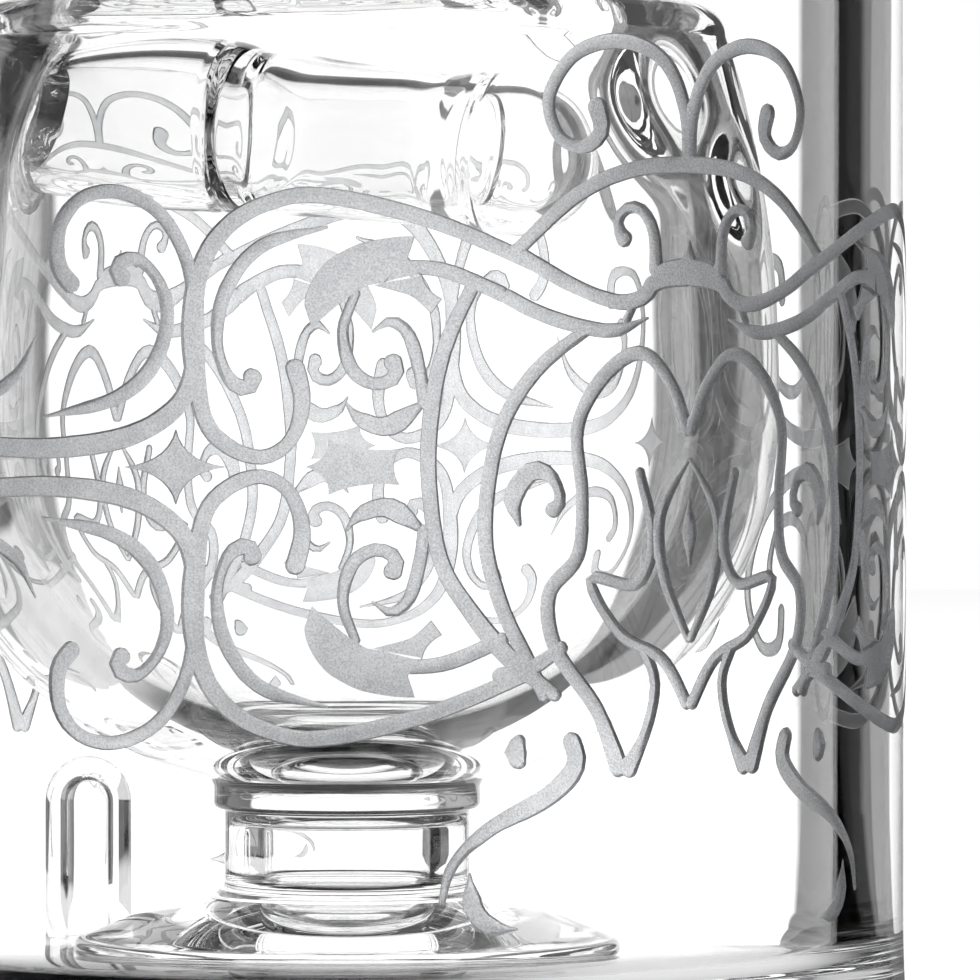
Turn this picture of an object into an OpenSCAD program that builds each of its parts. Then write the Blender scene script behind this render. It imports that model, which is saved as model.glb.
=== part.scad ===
// Double-walled shot glass: a straight outer glass with a thick dished base, and an
// egg-shaped drinking bowl that stands inside it on a short hollow stem and a domed foot.
// A sloping round-ended tube is sealed through both walls near the top of the bowl.
// Everything is clear glass, made as separate pieces that are fused together.
// Origin: centre of the underside. +Z is up, and the front is towards -Y.

/* [Outer glass] */
// Outside diameter of the straight outer wall
outer_d = 50; // [48:0.5:54]
// Thickness of the outer wall
outer_wall_t = 3; // [2.5:0.1:3.6]
// Height from the table to the drinking rim
total_h = 58; // [54:0.5:70]
// Thickness of the base under the floor
floor_z = 3.5; // [3.2:0.1:6]
// Radius of the rounded heel round the underside
heel_r = 2.8; // [1:0.1:3]
// Radius of the hollow curve between the floor and the wall
floor_fillet_r = 1.5; // [1:0.1:3]

/* [Bowl] */
// Widest outside diameter of the bowl
bowl_d = 38.7; // [36:0.1:39.5]
// Thickness of the bowl's wall at its widest
bowl_wall_t = 3.5; // [2.5:0.1:4]
// Thickness of the bowl's floor over the stem
bowl_floor_t = 3; // [2.5:0.1:4]
// Height of the widest level of the bowl
bowl_belly_z = 28.5; // [26:0.5:30]
// Height of the bowl's open mouth
bowl_mouth_z = 46; // [44:0.5:48]
// How fast the bowl closes above its belly: a larger value is straighter
bowl_top_rise = 29.5; // [27:0.5:36]
// Roundness of the curves: 2 is a true ellipse, more is squarer
bowl_power = 2.2; // [2:0.05:2.6]

/* [Stem and foot] */
// Outside diameter of the hollow stem
stem_d = 11; // [9:0.5:14]
// Thickness of the stem's wall
stem_wall_t = 1.75; // [1:0.05:2.2]
// Height of the stem between the foot and the collar
stem_h = 3.8; // [2:0.1:5]
// Thickness of the collar between the stem and the bowl, where the curve is thinnest
collar_t = 0.7; // [0.5:0.1:1]
// Diameter of the foot
foot_d = 24.5; // [20:0.5:28]
// Height of the foot where the stem stands on it
foot_h = 2.8; // [2.4:0.1:3.4]
// Depth of the hollow under the foot
foot_hollow_h = 0.9; // [0.4:0.1:1.2]

/* [Sloping tube] */
// Outside diameter of the tube
tube_d = 6.8; // [6:0.1:8]
// Thickness of the tube's wall
tube_wall_t = 0.9; // [0.8:0.1:1.6]
// Centre of the tube's round end inside the bowl
tube_end = [7.4, -5, 38.8]; // [-12:0.1:42]
// Direction in which the tube runs out to the wall, seen from above
tube_bearing = 160; // [120:1:170]
// Slope of the tube, rising towards the outer wall
tube_slope = 4.7; // [0:0.1:8]
// Straight length of the welded end piece before its round end
cap_skirt = 1.7; // [1:0.1:4]
// Distance from the round end to the weld between the two lengths of tube
weld_at = 13.5; // [8:0.5:16]
// Width of the glass beads that seal the tube into the two walls
bead_w = 1.8; // [1.2:0.1:2.4]

/* [Back post] */
// Diameter of the round-topped post that stands on the floor
post_d = 4.2; // [3:0.1:5]
// Height of the post above the floor
post_h = 8.3; // [6:0.1:10]
// Wall thickness of the hollow post
post_wall_t = 1.1; // [0.6:0.1:1.2]
// Distance of the post from the axis
post_reach = 17.3; // [15:0.1:17.5]
// Direction of the post from the axis, seen from above
post_bearing = 136.6; // [0:0.2:359]

/* [Hidden] */
$fn = 96;

curve_steps = 18;
outer_r = outer_d / 2;
bore_r = outer_r - outer_wall_t;
base_top_z = floor_z + floor_fillet_r;

foot_top_z = floor_z + foot_h;
stem_top_z = foot_top_z + stem_h;
bowl_under_z = stem_top_z + collar_t;
stem_r = stem_d / 2;
collar_flare = 0.8;
foot_r = foot_d / 2;
foot_edge_r = 0.45;
foot_power = 2.5;
foot_hollow_r = foot_r - 1.6;

bowl_r = bowl_d / 2;
cavity_r = bowl_r - bowl_wall_t;
cavity_floor_z = bowl_under_z + bowl_floor_t;
cavity_top_rise = bowl_top_rise - 1.8;
lip_drop = 1.6;

tube_r = tube_d / 2;
tube_bore_r = tube_r - tube_wall_t;
seam_at = cap_skirt;
bead_grip = 0.25;
// Distances along the tube from its round end to the bowl's outer face and the outer wall
bowl_face_r = egg_r(bowl_r, bowl_top_rise, tube_end.z + 1.5 - bowl_belly_z);
bowl_cross = run_to_radius(bowl_face_r);
bore_cross = run_to_radius(bore_r);
outer_cross = run_to_radius(outer_r);

post_r = post_d / 2;

// Radius of a rounded form of half-width r and half-height a, at a height dz from its belly
function egg_r(r, a, dz) = r * pow(1 - pow(min(abs(dz) / a, 1), bowl_power), 1 / bowl_power);

// Side outline of a rounded form from its lowest point up to height top_z
function egg_outline(r, low_a, top_a, top_z) = concat(
    [for (i = [0 : curve_steps])
        let (dz = -low_a * cos(90 * i / curve_steps))
        [egg_r(r, low_a, dz), bowl_belly_z + dz]],
    [for (i = [1 : curve_steps])
        let (dz = (top_z - bowl_belly_z) * i / curve_steps)
        [egg_r(r, top_a, dz), bowl_belly_z + dz]]);

// The same points in the opposite order
function backwards(points) = [for (i = [len(points) - 1 : -1 : 0]) points[i]];

// Half-round lip that joins two points at one height
function lip_arc(from, to) =
    let (mid = (from + to) / 2, r = norm(from - to) / 2)
    [for (i = [1 : 11]) mid + [r * cos(15 * i), lip_drop * sin(15 * i)]];

// Distance along the tube from its round end to a given distance from the glass's axis
function run_to_radius(r) =
    let (c = cos(tube_slope),
         along = c * (tube_end.x * cos(tube_bearing) + tube_end.y * sin(tube_bearing)),
         spare = pow(tube_end.x, 2) + pow(tube_end.y, 2) - r * r)
    (-along + sqrt(along * along - c * c * spare)) / (c * c);

// Places a part that is built along +Z onto the sloping tube's axis
module on_tube_axis() {
    translate(tube_end) rotate([0, 90 - tube_slope, tube_bearing]) children();
}

// The round hole that the tube is sealed into
module tube_hole() {
    on_tube_axis() cylinder(r = tube_r, h = outer_cross + outer_r);
}

module outer_wall() {
    rim_r = outer_wall_t / 2;
    color("aliceblue", 0.4) difference() {
        rotate_extrude() {
            translate([bore_r, base_top_z]) square([outer_wall_t, total_h - rim_r - base_top_z]);
            translate([bore_r + rim_r, total_h - rim_r]) circle(rim_r);
        }
        tube_hole();
    }
}

module base() {
    color("lightcyan", 0.5) rotate_extrude() difference() {
        union() {
            square([outer_r - heel_r, base_top_z]);
            translate([0, heel_r]) square([outer_r, base_top_z - heel_r]);
            translate([outer_r - heel_r, heel_r]) intersection() {
                circle(heel_r);
                translate([0, -heel_r]) square(heel_r);
            }
        }
        translate([-1, floor_z]) square([bore_r - floor_fillet_r + 1, base_top_z]);
        translate([-1, base_top_z]) square([outer_r + 2, 1]);
        translate([bore_r - floor_fillet_r, base_top_z]) circle(floor_fillet_r);
    }
}

// The bowl's outer form, solid, down to the underside where the collar meets it
module bowl_form() {
    rotate_extrude() polygon(concat(
        egg_outline(bowl_r, bowl_belly_z - bowl_under_z, bowl_top_rise, bowl_belly_z + 1),
        [[0, bowl_belly_z + 1]]));
}

module inner_bowl() {
    lip_z = bowl_mouth_z - lip_drop;
    outside = egg_outline(bowl_r, bowl_belly_z - bowl_under_z, bowl_top_rise, lip_z);
    inside = egg_outline(cavity_r, bowl_belly_z - cavity_floor_z, cavity_top_rise, lip_z);
    lip = lip_arc(outside[len(outside) - 1], inside[len(inside) - 1]);
    color("azure", 0.5) difference() {
        rotate_extrude() polygon(concat(outside, lip, backwards(inside)));
        tube_hole();
    }
}

module bowl_collar() {
    color("lightblue", 0.6) difference() {
        translate([0, 0, stem_top_z]) cylinder(r1 = stem_r, r2 = stem_r + collar_flare, h = collar_t + 0.4);
        bowl_form();
    }
}

module stem() {
    color("powderblue", 0.6) translate([0, 0, foot_top_z]) difference() {
        cylinder(r = stem_r, h = stem_h);
        translate([0, 0, -1]) cylinder(r = stem_r - stem_wall_t, h = stem_h + 2);
    }
}

module foot() {
    dome_r = foot_r - foot_edge_r;
    dome_h = foot_h - 2 * foot_edge_r;
    inner_share = pow(stem_r / dome_r, foot_power);
    dome = [for (i = [0 : curve_steps])
        let (r = stem_r + (dome_r - stem_r) * i / curve_steps,
             fall = (pow(r / dome_r, foot_power) - inner_share) / (1 - inner_share))
        [r, foot_top_z - dome_h * fall]];
    edge = [for (a = [75 : -15 : -90])
        [dome_r + foot_edge_r * cos(a), floor_z + foot_edge_r + foot_edge_r * sin(a)]];
    hollow = [for (i = [curve_steps : -1 : 0])
        let (r = foot_hollow_r * i / curve_steps)
        [r, floor_z + foot_hollow_h * (1 - pow(r / foot_hollow_r, 2))]];
    color("paleturquoise", 0.6)
        rotate_extrude() polygon(concat([[0, foot_top_z]], dome, edge, hollow));
}

module cross_tube() {
    color("lightskyblue", 0.6) intersection() {
        on_tube_axis() difference() {
            translate([0, 0, weld_at]) cylinder(r = tube_r, h = outer_cross + tube_d);
            cylinder(r = tube_bore_r, h = outer_cross + 2 * tube_d);
        }
        cylinder(r = outer_r, h = total_h);
    }
}

// Length of tube between the weld and the round end
module front_tube() {
    color("powderblue", 0.6) on_tube_axis() difference() {
        translate([0, 0, seam_at]) cylinder(r = tube_r, h = weld_at - seam_at);
        cylinder(r = tube_bore_r, h = weld_at + tube_d);
    }
}

// Closed round end of a tube, hanging down from the origin
module round_end(r, inside_r) {
    rotate_extrude() intersection() {
        difference() {
            circle(r);
            circle(inside_r);
        }
        translate([0, -r]) square(r);
    }
}

module tube_cap() {
    color("skyblue", 0.7) on_tube_axis() union() {
        round_end(tube_r, tube_bore_r);
        difference() {
            cylinder(r = tube_r, h = seam_at);
            translate([0, 0, -1]) cylinder(r = tube_bore_r, h = seam_at + 2);
        }
    }
}

// Half-round bead of melted glass round the tube, at a distance along it
module seal_bead(at, wide) {
    on_tube_axis() translate([0, 0, at]) difference() {
        rotate_extrude() translate([tube_r, 0]) circle(d = wide);
        translate([0, 0, -wide]) cylinder(r = tube_r, h = 2 * wide);
    }
}

module bowl_seal() {
    color("deepskyblue", 0.7) seal_bead(bowl_cross + bead_grip, bead_w);
}

module wall_seal() {
    color("dodgerblue", 0.7) seal_bead(bore_cross - bead_grip, bead_w);
}

module back_post() {
    round_top = post_h - post_r;
    color("lightsteelblue", 0.7)
        translate([post_reach * cos(post_bearing), post_reach * sin(post_bearing), floor_z])
            union() {
                difference() {
                    cylinder(r = post_r, h = round_top);
                    translate([0, 0, -1]) cylinder(r = post_r - post_wall_t, h = round_top + 2);
                }
                translate([0, 0, round_top]) mirror([0, 0, 1])
                    round_end(post_r, post_r - post_wall_t);
            }
}

outer_wall();
base();
inner_bowl();
bowl_collar();
stem();
foot();
cross_tube();
front_tube();
tube_cap();
bowl_seal();
wall_seal();
back_post();
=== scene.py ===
"""Finished look of a double-walled shot glass: clear borosilicate with carved scrollwork."""
import logging
import math
from dataclasses import dataclass
from typing import Iterable, Sequence

import bmesh
import bpy
from bpy.types import (GeometryNodeTree, Material, Mesh, Node, NodeOutputs, NodeSocket, NodeTree,
                       Object)
from mathutils import Matrix, Vector


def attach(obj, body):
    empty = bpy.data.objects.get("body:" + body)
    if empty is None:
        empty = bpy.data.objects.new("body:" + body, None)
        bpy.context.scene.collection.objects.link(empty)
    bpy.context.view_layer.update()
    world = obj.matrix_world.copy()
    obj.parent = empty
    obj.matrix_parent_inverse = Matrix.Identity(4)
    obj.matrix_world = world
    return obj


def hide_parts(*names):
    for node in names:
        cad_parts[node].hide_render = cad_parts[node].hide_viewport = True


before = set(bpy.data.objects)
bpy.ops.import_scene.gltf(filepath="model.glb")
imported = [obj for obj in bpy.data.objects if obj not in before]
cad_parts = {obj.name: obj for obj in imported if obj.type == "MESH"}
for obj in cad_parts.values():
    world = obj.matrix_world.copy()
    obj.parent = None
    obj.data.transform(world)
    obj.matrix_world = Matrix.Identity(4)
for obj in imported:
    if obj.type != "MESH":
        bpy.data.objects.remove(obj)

LOG = logging.getLogger("shot_glass")
MM = 0.001
BODY = "root"
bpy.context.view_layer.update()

Point = tuple[float, float]


# ---------------------------------------------------------------- small helpers


def linear(code: str) -> tuple[float, float, float, float]:
    """Turn an sRGB hex colour into linear light.

    Args:
        code: six hex digits, with or without a leading hash.

    Returns:
        Red, green, blue and an alpha of one.
    """
    code = code.lstrip("#")
    out = []
    for i in (0, 2, 4):
        c = int(code[i:i + 2], 16) / 255
        out.append(c / 12.92 if c <= 0.04045 else ((c + 0.055) / 1.055) ** 2.4)
    return (out[0], out[1], out[2], 1.0)


def add_node(tree: NodeTree, kind: str, settings: dict | str | None = None,
             *values: object, **sockets: object) -> Node:
    """Add a node, set its properties, and fill or link its inputs.

    Args:
        tree: the tree that gets the node.
        kind: the node's type name.
        settings: node properties by name, or only the node's operation.
        *values: values for the first inputs, in order. A value is a plain value, an output
            socket, a node that stands for its first output, or a list of them.
        **sockets: the same by input name, with _ for a space.

    Returns:
        The new node.
    """
    node = tree.nodes.new(kind)
    if isinstance(settings, str):
        settings = {"operation": settings}
    for key, value in (settings or {}).items():
        setattr(node, key, value)
    wanted = list(zip(node.inputs, values))
    wanted += [(node.inputs[key.replace("_", " ")], value) for key, value in sockets.items()]
    for socket, value in wanted:
        for item in value if isinstance(value, list) else [value]:
            if isinstance(item, Node):
                item = item.outputs[0]
            if isinstance(item, NodeSocket):
                tree.links.new(item, socket)
            else:
                socket.default_value = item
    return node


def empty_material(name: str) -> tuple[Material, NodeTree]:
    """Make a material with no nodes.

    Args:
        name: the material's name.

    Returns:
        The material, and its tree.
    """
    material = bpy.data.materials.new(name)
    material.use_nodes = True
    material.node_tree.nodes.clear()
    return material, material.node_tree


def arc(centre: Point, radius: float, start: float, stop: float, steps: int) -> list[Point]:
    """Points along a circular arc in the outline's plane, in millimetres and degrees."""
    turn = [math.radians(start + (stop - start) * i / steps) for i in range(steps + 1)]
    return [(centre[0] + radius * math.cos(a), centre[1] + radius * math.sin(a)) for a in turn]


def turned_mesh(name: str, outlines: Sequence[Sequence[Point]], steps: int) -> Mesh:
    """Turn closed outlines about the Z axis into a closed mesh.

    Args:
        name: the mesh's name.
        outlines: (radius, height) points in millimetres, with the glass on the left of the
            direction of travel. An outline may start and end on the axis.
        steps: how many faces go round.

    Returns:
        A mesh in metres whose faces point out of the glass.
    """
    bm = bmesh.new()
    for outline in outlines:
        rings = []
        for r, z in outline:
            if r < 1e-6:
                rings.append([bm.verts.new((0, 0, z * MM))])
                continue
            rings.append([bm.verts.new((r * MM * math.cos(a), r * MM * math.sin(a), z * MM))
                          for a in (math.tau * k / steps for k in range(steps))])
        for low, high in zip(rings, rings[1:] + rings[:1]):
            if len(low) == 1 and len(high) == 1:
                continue
            for k in range(steps):
                n = (k + 1) % steps
                ends = [low[k % len(low)], low[n % len(low)], high[n % len(high)], high[k % len(high)]]
                bm.faces.new(list(dict.fromkeys(ends)))
    mesh = bpy.data.meshes.new(name)
    bm.to_mesh(mesh)
    bm.free()
    return mesh


def disc(radius: float, height: float, segments: int) -> bmesh.types.BMesh:
    """Make a level disc, centred on the Z axis.

    Args:
        radius: its radius, in metres.
        height: its height, in metres.
        segments: how many sides it has.

    Returns:
        The disc, still to be written to a mesh.
    """
    bm = bmesh.new()
    bmesh.ops.create_circle(bm, cap_ends=True, segments=segments, radius=radius)
    bmesh.ops.translate(bm, verts=bm.verts, vec=(0, 0, height))
    return bm


def make_piece(name: str, mesh: Mesh) -> Object:
    """Put a mesh into the scene as an object at the origin.

    Args:
        name: the object's name.
        mesh: its mesh.

    Returns:
        The new object.
    """
    piece = bpy.data.objects.new(name, mesh)
    bpy.context.scene.collection.objects.link(piece)
    return piece


def frozen(piece: Object, name: str) -> Object:
    """Turn a piece with modifiers into a plain mesh and remove the working object.

    Args:
        piece: the working object.
        name: the finished piece's name.

    Returns:
        The plain piece, at the origin.
    """
    seen = piece.evaluated_get(bpy.context.evaluated_depsgraph_get())
    mesh = bpy.data.meshes.new_from_object(seen)
    bpy.data.objects.remove(piece)
    plain = make_piece(name, mesh)
    mesh.name = name
    return plain


def joined_or_cut(piece: Object, others: Iterable[Object],
                  operation: str) -> Object:
    """Cut other solids out of a piece, or fuse them with it, and drop the other solids.

    Args:
        piece: the piece that changes.
        others: closed solids.
        operation: DIFFERENCE, UNION or INTERSECT.

    Returns:
        The changed piece as a plain mesh.
    """
    others = list(others)
    name = piece.name
    for other in others:
        step = piece.modifiers.new(other.name, "BOOLEAN")
        step.object = other
        step.operation = operation
        step.solver = "MANIFOLD"
        step.material_mode = "TRANSFER"
    done = frozen(piece, name)
    for other in others:
        bpy.data.objects.remove(other)
    return done


def smooth(piece: Object, angle: float = 38.0) -> None:
    """Shade a piece smooth, with sharp edges where faces meet at more than an angle."""
    piece.data.shade_smooth()
    piece.data.set_sharp_from_angle(angle=math.radians(angle))


def true_round(piece: Object, radius: float, low: float, high: float) -> None:
    """Give the clear outer face of a turned piece exactly round shading.

    Without this, the long narrow faces between the carved grooves bend light unevenly.

    Args:
        piece: the piece, already shaded smooth.
        radius: radius of the face, in millimetres.
        low: height of its lower edge.
        high: height of its upper edge.
    """
    mesh = piece.data
    normals = [tuple(corner.vector) for corner in mesh.corner_normals]
    for face in mesh.polygons:
        if face.material_index != 0 or abs(face.normal.z) > 0.05:
            continue
        spots = [mesh.vertices[v].co for v in face.vertices]
        if min(math.hypot(c.x, c.y) for c in spots) < (radius - 0.02) * MM:
            continue
        if min(c.z for c in spots) < (low - 0.1) * MM or max(c.z for c in spots) > (high + 0.1) * MM:
            continue
        for loop, spot in zip(face.loop_indices, spots):
            reach = math.hypot(spot.x, spot.y)
            normals[loop] = (spot.x / reach, spot.y / reach, 0.0)
    mesh.normals_split_custom_set(normals)


# ---------------------------------------------------------------- finishes


@dataclass(frozen=True)
class ClearBorosilicate:
    """Flame-worked borosilicate glass: colourless, mirror smooth and slightly wavy.

    The low index of 1.474 gives the eye broad dark bands near the edges of thick walls.
    """

    tint: str = "#FEFEFE"
    index: float = 1.474
    ripple_mm: float = 9.0
    ripple: float = 0.02

    def build(self, name: str) -> Material:
        """Make the material.

        Args:
            name: the material's name.

        Returns:
            The material.
        """
        material, tree = empty_material(name)
        place = add_node(tree, "ShaderNodeTexCoord")
        wave = add_node(tree, "ShaderNodeTexNoise", Vector=place.outputs["Object"],
                        Scale=1 / (self.ripple_mm * MM), Detail=1.0, Roughness=0.4)
        bump = add_node(tree, "ShaderNodeBump", Strength=self.ripple, Distance=0.4 * MM,
                        Height=wave.outputs["Fac"])
        glass = add_node(tree, "ShaderNodeBsdfPrincipled", Base_Color=linear(self.tint), Roughness=0.0,
                         IOR=self.index, Transmission_Weight=1.0, Normal=bump.outputs["Normal"])
        add_node(tree, "ShaderNodeOutputMaterial", Surface=glass)
        return material


@dataclass(frozen=True)
class SandblastedGlass:
    """The same glass carved by grit: a dense grey frost with a grain that shows.

    The grain is a little coarser than real grit of about 0.06 mm, so that it can be seen.
    """

    pale: str = "#DADBDE"
    dim: str = "#989B9F"
    index: float = 1.474
    frost: float = 0.48
    grain_mm: float = 0.08
    shade_mm: float = 1.6
    shade_share: float = 0.35
    dim_at: float = 0.56
    pale_at: float = 0.82
    relief: float = 0.8
    relief_mm: float = 0.05

    def build(self, name: str) -> Material:
        """Make the material.

        Args:
            name: the material's name.

        Returns:
            The material.
        """
        material, tree = empty_material(name)
        place = add_node(tree, "ShaderNodeTexCoord")
        grit = add_node(tree, "ShaderNodeTexNoise", Vector=place.outputs["Object"],
                        Scale=1 / (self.grain_mm * MM), Detail=2.0, Roughness=0.7)
        cloud = add_node(tree, "ShaderNodeTexNoise", Vector=place.outputs["Object"],
                         Scale=1 / (self.shade_mm * MM), Detail=2.0)
        both = add_node(tree, "ShaderNodeMath", "MULTIPLY_ADD", cloud.outputs["Fac"],
                        self.shade_share, grit.outputs["Fac"])
        spread = add_node(tree, "ShaderNodeMapRange", Value=both, From_Min=self.dim_at,
                          From_Max=self.pale_at)
        shade = add_node(tree, "ShaderNodeMix", {"data_type": "RGBA"}, Factor=spread)
        shade.inputs[6].default_value = linear(self.dim)
        shade.inputs[7].default_value = linear(self.pale)
        bump = add_node(tree, "ShaderNodeBump", Strength=self.relief, Distance=self.relief_mm * MM,
                        Height=grit.outputs["Fac"])
        glass = add_node(tree, "ShaderNodeBsdfPrincipled", Base_Color=shade.outputs[2],
                         Roughness=self.frost, IOR=self.index, Transmission_Weight=1.0,
                         Normal=bump.outputs["Normal"])
        add_node(tree, "ShaderNodeOutputMaterial", Surface=glass)
        return material


# ---------------------------------------------------------------- the glass


@dataclass(frozen=True)
class OuterGlass:
    """The straight outer glass with its dished base, turned as one outline."""

    radius: float = 25.0
    wall: float = 3.0
    height: float = 58.0
    floor: float = 3.5
    heel: float = 2.8
    fillet: float = 1.5
    steps: int = 384

    @property
    def bore(self) -> float:
        """Radius of the inside of the wall."""
        return self.radius - self.wall

    def outline(self) -> list[Point]:
        """Outline from the centre of the underside, round the rim, to the centre of the floor.

        Returns:
            Outline points with the glass on the left.
        """
        rim = self.wall / 2
        inner = self.bore - self.fillet
        return ([(0.0, 0.0)]
                + arc((self.radius - self.heel, self.heel), self.heel, -90, 0, 10)
                + arc((self.radius - rim, self.height - rim), rim, 0, 180, 20)
                + arc((inner, self.floor + self.fillet), self.fillet, 0, -90, 12)
                + [(0.0, self.floor)])

    def build(self) -> Object:
        """Make the outer glass."""
        return make_piece("outer_glass", turned_mesh("outer_glass", [self.outline()], self.steps))


@dataclass(frozen=True)
class FootedBowl:
    """The inner bowl, its collar, the hollow stem and the domed foot, fused into one."""

    floor: float = 3.5
    bowl_r: float = 19.35
    wall: float = 3.5
    bowl_floor: float = 3.0
    belly: float = 28.5
    mouth: float = 46.0
    rise: float = 29.5
    rise_inside: float = 27.7
    power: float = 2.2
    lip: float = 1.6
    stem_r: float = 5.5
    stem_wall: float = 1.75
    stem_h: float = 3.8
    collar: float = 0.7
    foot_r: float = 12.25
    foot_h: float = 2.8
    foot_edge: float = 0.45
    foot_power: float = 2.5
    foot_hollow: float = 0.9
    foot_rim: float = 1.6
    neck: float = 0.7
    clearance: float = 0.02
    wave: float = 0.10
    plain_rise: float = 4.0
    lumps: tuple[tuple[float, float, float, float], ...] = (
        (-32.0, 41.0, 2.4, 1.0), (-14.0, 37.6, 1.8, 0.8), (6.0, 41.0, 2.2, 1.1), (26.0, 37.8, 2.0, 0.9),
        (44.0, 42.0, 2.2, 0.8), (-50.0, 44.0, 1.8, 0.5))
    steps: int = 256
    rows: int = 40

    @property
    def foot_top(self) -> float:
        """Height of the joint between the foot and the stem."""
        return self.floor + self.foot_h

    @property
    def stem_top(self) -> float:
        """Height of the joint between the stem and the collar."""
        return self.foot_top + self.stem_h

    @property
    def under(self) -> float:
        """Height of the bowl's lowest point outside."""
        return self.stem_top + self.collar

    def egg(self, r: float, low: float, rise: float, top: float) -> list[Point]:
        """Side of an egg-shaped form from its lowest point to a height.

        Args:
            r: radius at the belly.
            low: height of the lowest point.
            rise: half-height of the upper part.
            top: height at which the outline stops.

        Returns:
            Outline points, going up.
        """
        def at(dz: float, half: float) -> Point:
            """Point of the curve at a height from the belly, for its half-height."""
            share = min(abs(dz) / half, 1.0) ** self.power
            return (r * (1 - share) ** (1 / self.power), self.belly + dz)

        depth = self.belly - low
        lower = [at(-depth * math.cos(math.pi / 2 * i / self.rows), depth)
                 for i in range(self.rows + 1)]
        upper = [at((top - self.belly) * i / self.rows, rise) for i in range(1, self.rows + 1)]
        return lower + upper

    def outline(self) -> list[Point]:
        """Outline from the hollow under the foot, up the outside and down into the bowl.

        Returns:
            Outline points with the glass on the left.
        """
        hollow_r = self.foot_r - self.foot_rim
        base = self.floor + self.clearance
        dome_r = self.foot_r - self.foot_edge
        hollow = [(hollow_r * k / 16, base + self.foot_hollow * (1 - (k / 16) ** 2))
                  for k in range(17)]
        edge = arc((dome_r, base + self.foot_edge), self.foot_edge, -90, 80, 10)
        share = (self.stem_r / dome_r) ** self.foot_power
        dome = []
        for k in range(24):
            r = dome_r + (self.stem_r + self.neck - dome_r) * k / 23
            fall = ((r / dome_r) ** self.foot_power - share) / (1 - share)
            dome.append((r, self.foot_top - (self.foot_h - 2 * self.foot_edge) * fall))
        neck = arc((self.stem_r + self.neck, self.foot_top + self.neck), self.neck, -90, -180, 8)
        flare = (arc((self.stem_r + 0.15, self.stem_top - 0.15), 0.15, 180, 90, 4)
                 + arc((self.stem_r + 0.2, self.stem_top + 0.3), 0.3, -90, 0, 5)
                 + [(self.stem_r + 0.5, self.under + 0.35)])
        lip_z = self.mouth - self.lip
        outside = [p for p in self.egg(self.bowl_r, self.under, self.rise, lip_z) if p[0] > 6.1]
        inside = self.egg(self.bowl_r - self.wall, self.under + self.bowl_floor,
                          self.rise_inside, lip_z)
        mid = (outside[-1][0] + inside[-1][0]) / 2
        half = (outside[-1][0] - inside[-1][0]) / 2
        lip = [(mid + half * math.cos(a), lip_z + self.lip * math.sin(a))
               for a in (math.pi * k / 24 for k in range(1, 24))]
        return hollow + edge + dome + neck + flare + outside + lip + inside[::-1]

    def worked(self, mesh: Mesh) -> None:
        """Give the upper bowl the slight waves and melted lumps of flame-worked glass.

        Args:
            mesh: the turned bowl, whose points are moved.
        """
        start = self.belly + self.plain_rise
        for vertex in mesh.vertices:
            x, y, z = (c / MM for c in vertex.co)
            reach = math.hypot(x, y)
            if z < start - 2 or reach < 8:
                continue
            turn = math.atan2(y, x)
            rise = min(max((z - start) / (self.mouth - start), 0.0), 1.0)
            inside = reach < self.egg_at(z)
            phase = 1.3 if inside else 0.0
            push = self.wave * rise * (math.sin(3 * turn + 0.35 * z + phase)
                                       + 0.7 * math.sin(5 * turn - 0.5 * z + 2 * phase))
            if inside:
                for bearing, height, spread, swell in self.lumps:
                    off = math.remainder(turn - math.radians(bearing), math.tau) * reach
                    away = (off ** 2 + (z - height) ** 2) / spread ** 2
                    push -= swell * math.exp(-away)
            grow = 1 + push / reach
            vertex.co.x *= grow
            vertex.co.y *= grow

    def egg_at(self, z: float) -> float:
        """Radius of the middle of the bowl's wall above the belly."""
        share = min(abs(z - self.belly) / self.rise, 1.0) ** self.power
        return self.bowl_r * (1 - share) ** (1 / self.power) - self.wall / 2

    def stem_hollow(self) -> list[Point]:
        """Outline of the sealed hollow in the stem.

        Returns:
            Outline points with the glass on the left.
        """
        r = self.stem_r - self.stem_wall
        low, high, soft = self.foot_top, self.stem_top, 0.8
        up = ([(0.0, low)] + arc((r - soft, low + soft), soft, -90, 0, 6)
              + arc((r - soft, high - soft), soft, 0, 90, 6) + [(0.0, high)])
        return up[::-1]

    def build(self) -> Object:
        """Make the footed bowl.

        Returns:
            The bowl with its stem and foot.
        """
        mesh = turned_mesh("footed_bowl", [self.outline(), self.stem_hollow()], self.steps)
        self.worked(mesh)
        return make_piece("footed_bowl", mesh)


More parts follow.
